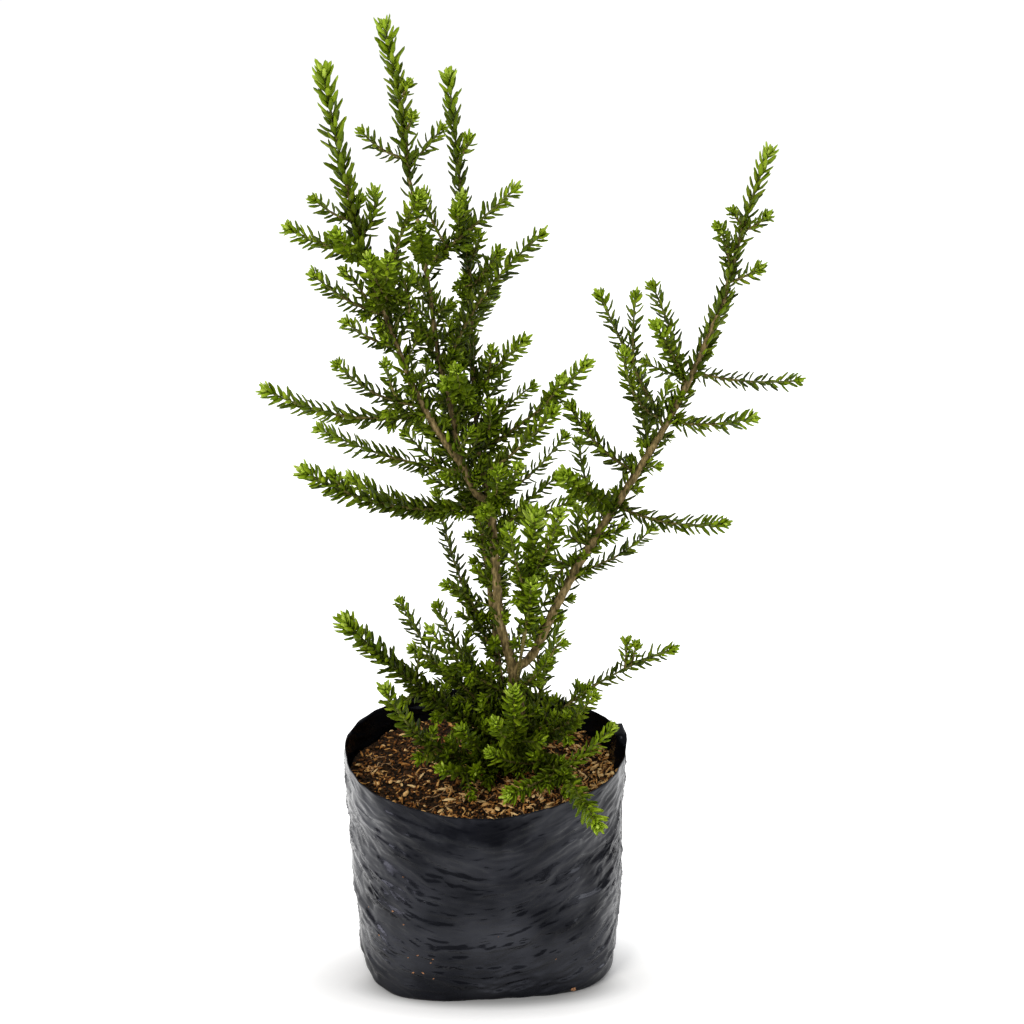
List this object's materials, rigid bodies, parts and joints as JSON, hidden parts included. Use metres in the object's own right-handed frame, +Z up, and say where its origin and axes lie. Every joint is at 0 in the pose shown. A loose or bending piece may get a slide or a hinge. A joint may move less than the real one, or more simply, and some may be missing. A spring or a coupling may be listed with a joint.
{
  "type": "potted shrub",
  "caption": "Young upright shrub with narrow crossed leaves on open shoots, standing in a black film grow bag of bark potting mix.",
  "frame": {"origin": "middle of the bag's flat underside", "axes": "+Z up; -Y towards the fuller side of the plant; +X towards the single long right-hand stem"},
  "size_m": [0.2907, 0.193, 0.5359],
  "materials": {
    "film": "thin black film, creased, with a soft sheen",
    "mix": "moist bark chips and fibre",
    "bark": "grey-brown, finely cracked bark",
    "foliage": "satin leaves, deep green, lime at the shoot tips"
  },
  "bodies": {
    "root": {"back_spray_1": "foliage", "back_spray_2": "foliage", "back_spray_3": "foliage", "back_spray_4": "foliage", "back_spray_5": "foliage", "foot_spray_1": "foliage", "foot_spray_2": "foliage", "foot_spray_3": "foliage", "foot_spray_4": "foliage", "foot_spray_5": "foliage", "foot_spray_6": "foliage", "foot_spray_7": "foliage", "foot_spray_8": "foliage", "front_spray_1": "foliage", "grow_bag": "film", "inner_spray_1": "foliage", "inner_spray_2": "foliage", "inner_spray_3": "foliage", "inner_spray_4": "foliage", "inner_spray_5": "foliage", "leader_left": "bark", "leader_middle": "bark", "leader_right": "bark", "left_spire": "foliage", "left_spray_1": "foliage", "left_spray_2": "foliage", "left_spray_3": "foliage", "left_spray_4": "foliage", "left_spray_5": "foliage", "left_spray_6": "foliage", "left_spray_7": "foliage", "left_stem": "bark", "middle_spire": "foliage", "middle_spray_1": "foliage", "middle_spray_2": "foliage", "middle_spray_3": "foliage", "middle_spray_4": "foliage", "potting_mix": "mix", "rear_spire": "foliage", "rear_spray_1": "foliage", "rear_spray_2": "foliage", "rear_spray_3": "foliage", "rear_spray_4": "foliage", "rear_spray_5": "foliage", "rear_stem": "bark", "right_spire": "foliage", "right_spray_1": "foliage", "right_spray_10": "foliage", "right_spray_11": "foliage", "right_spray_2": "foliage", "right_spray_3": "foliage", "right_spray_4": "foliage", "right_spray_5": "foliage", "right_spray_6": "foliage", "right_spray_7": "foliage", "right_spray_8": "foliage", "right_spray_9": "foliage", "right_stem": "bark", "trunk": "bark"}
  },
  "joints": []
}
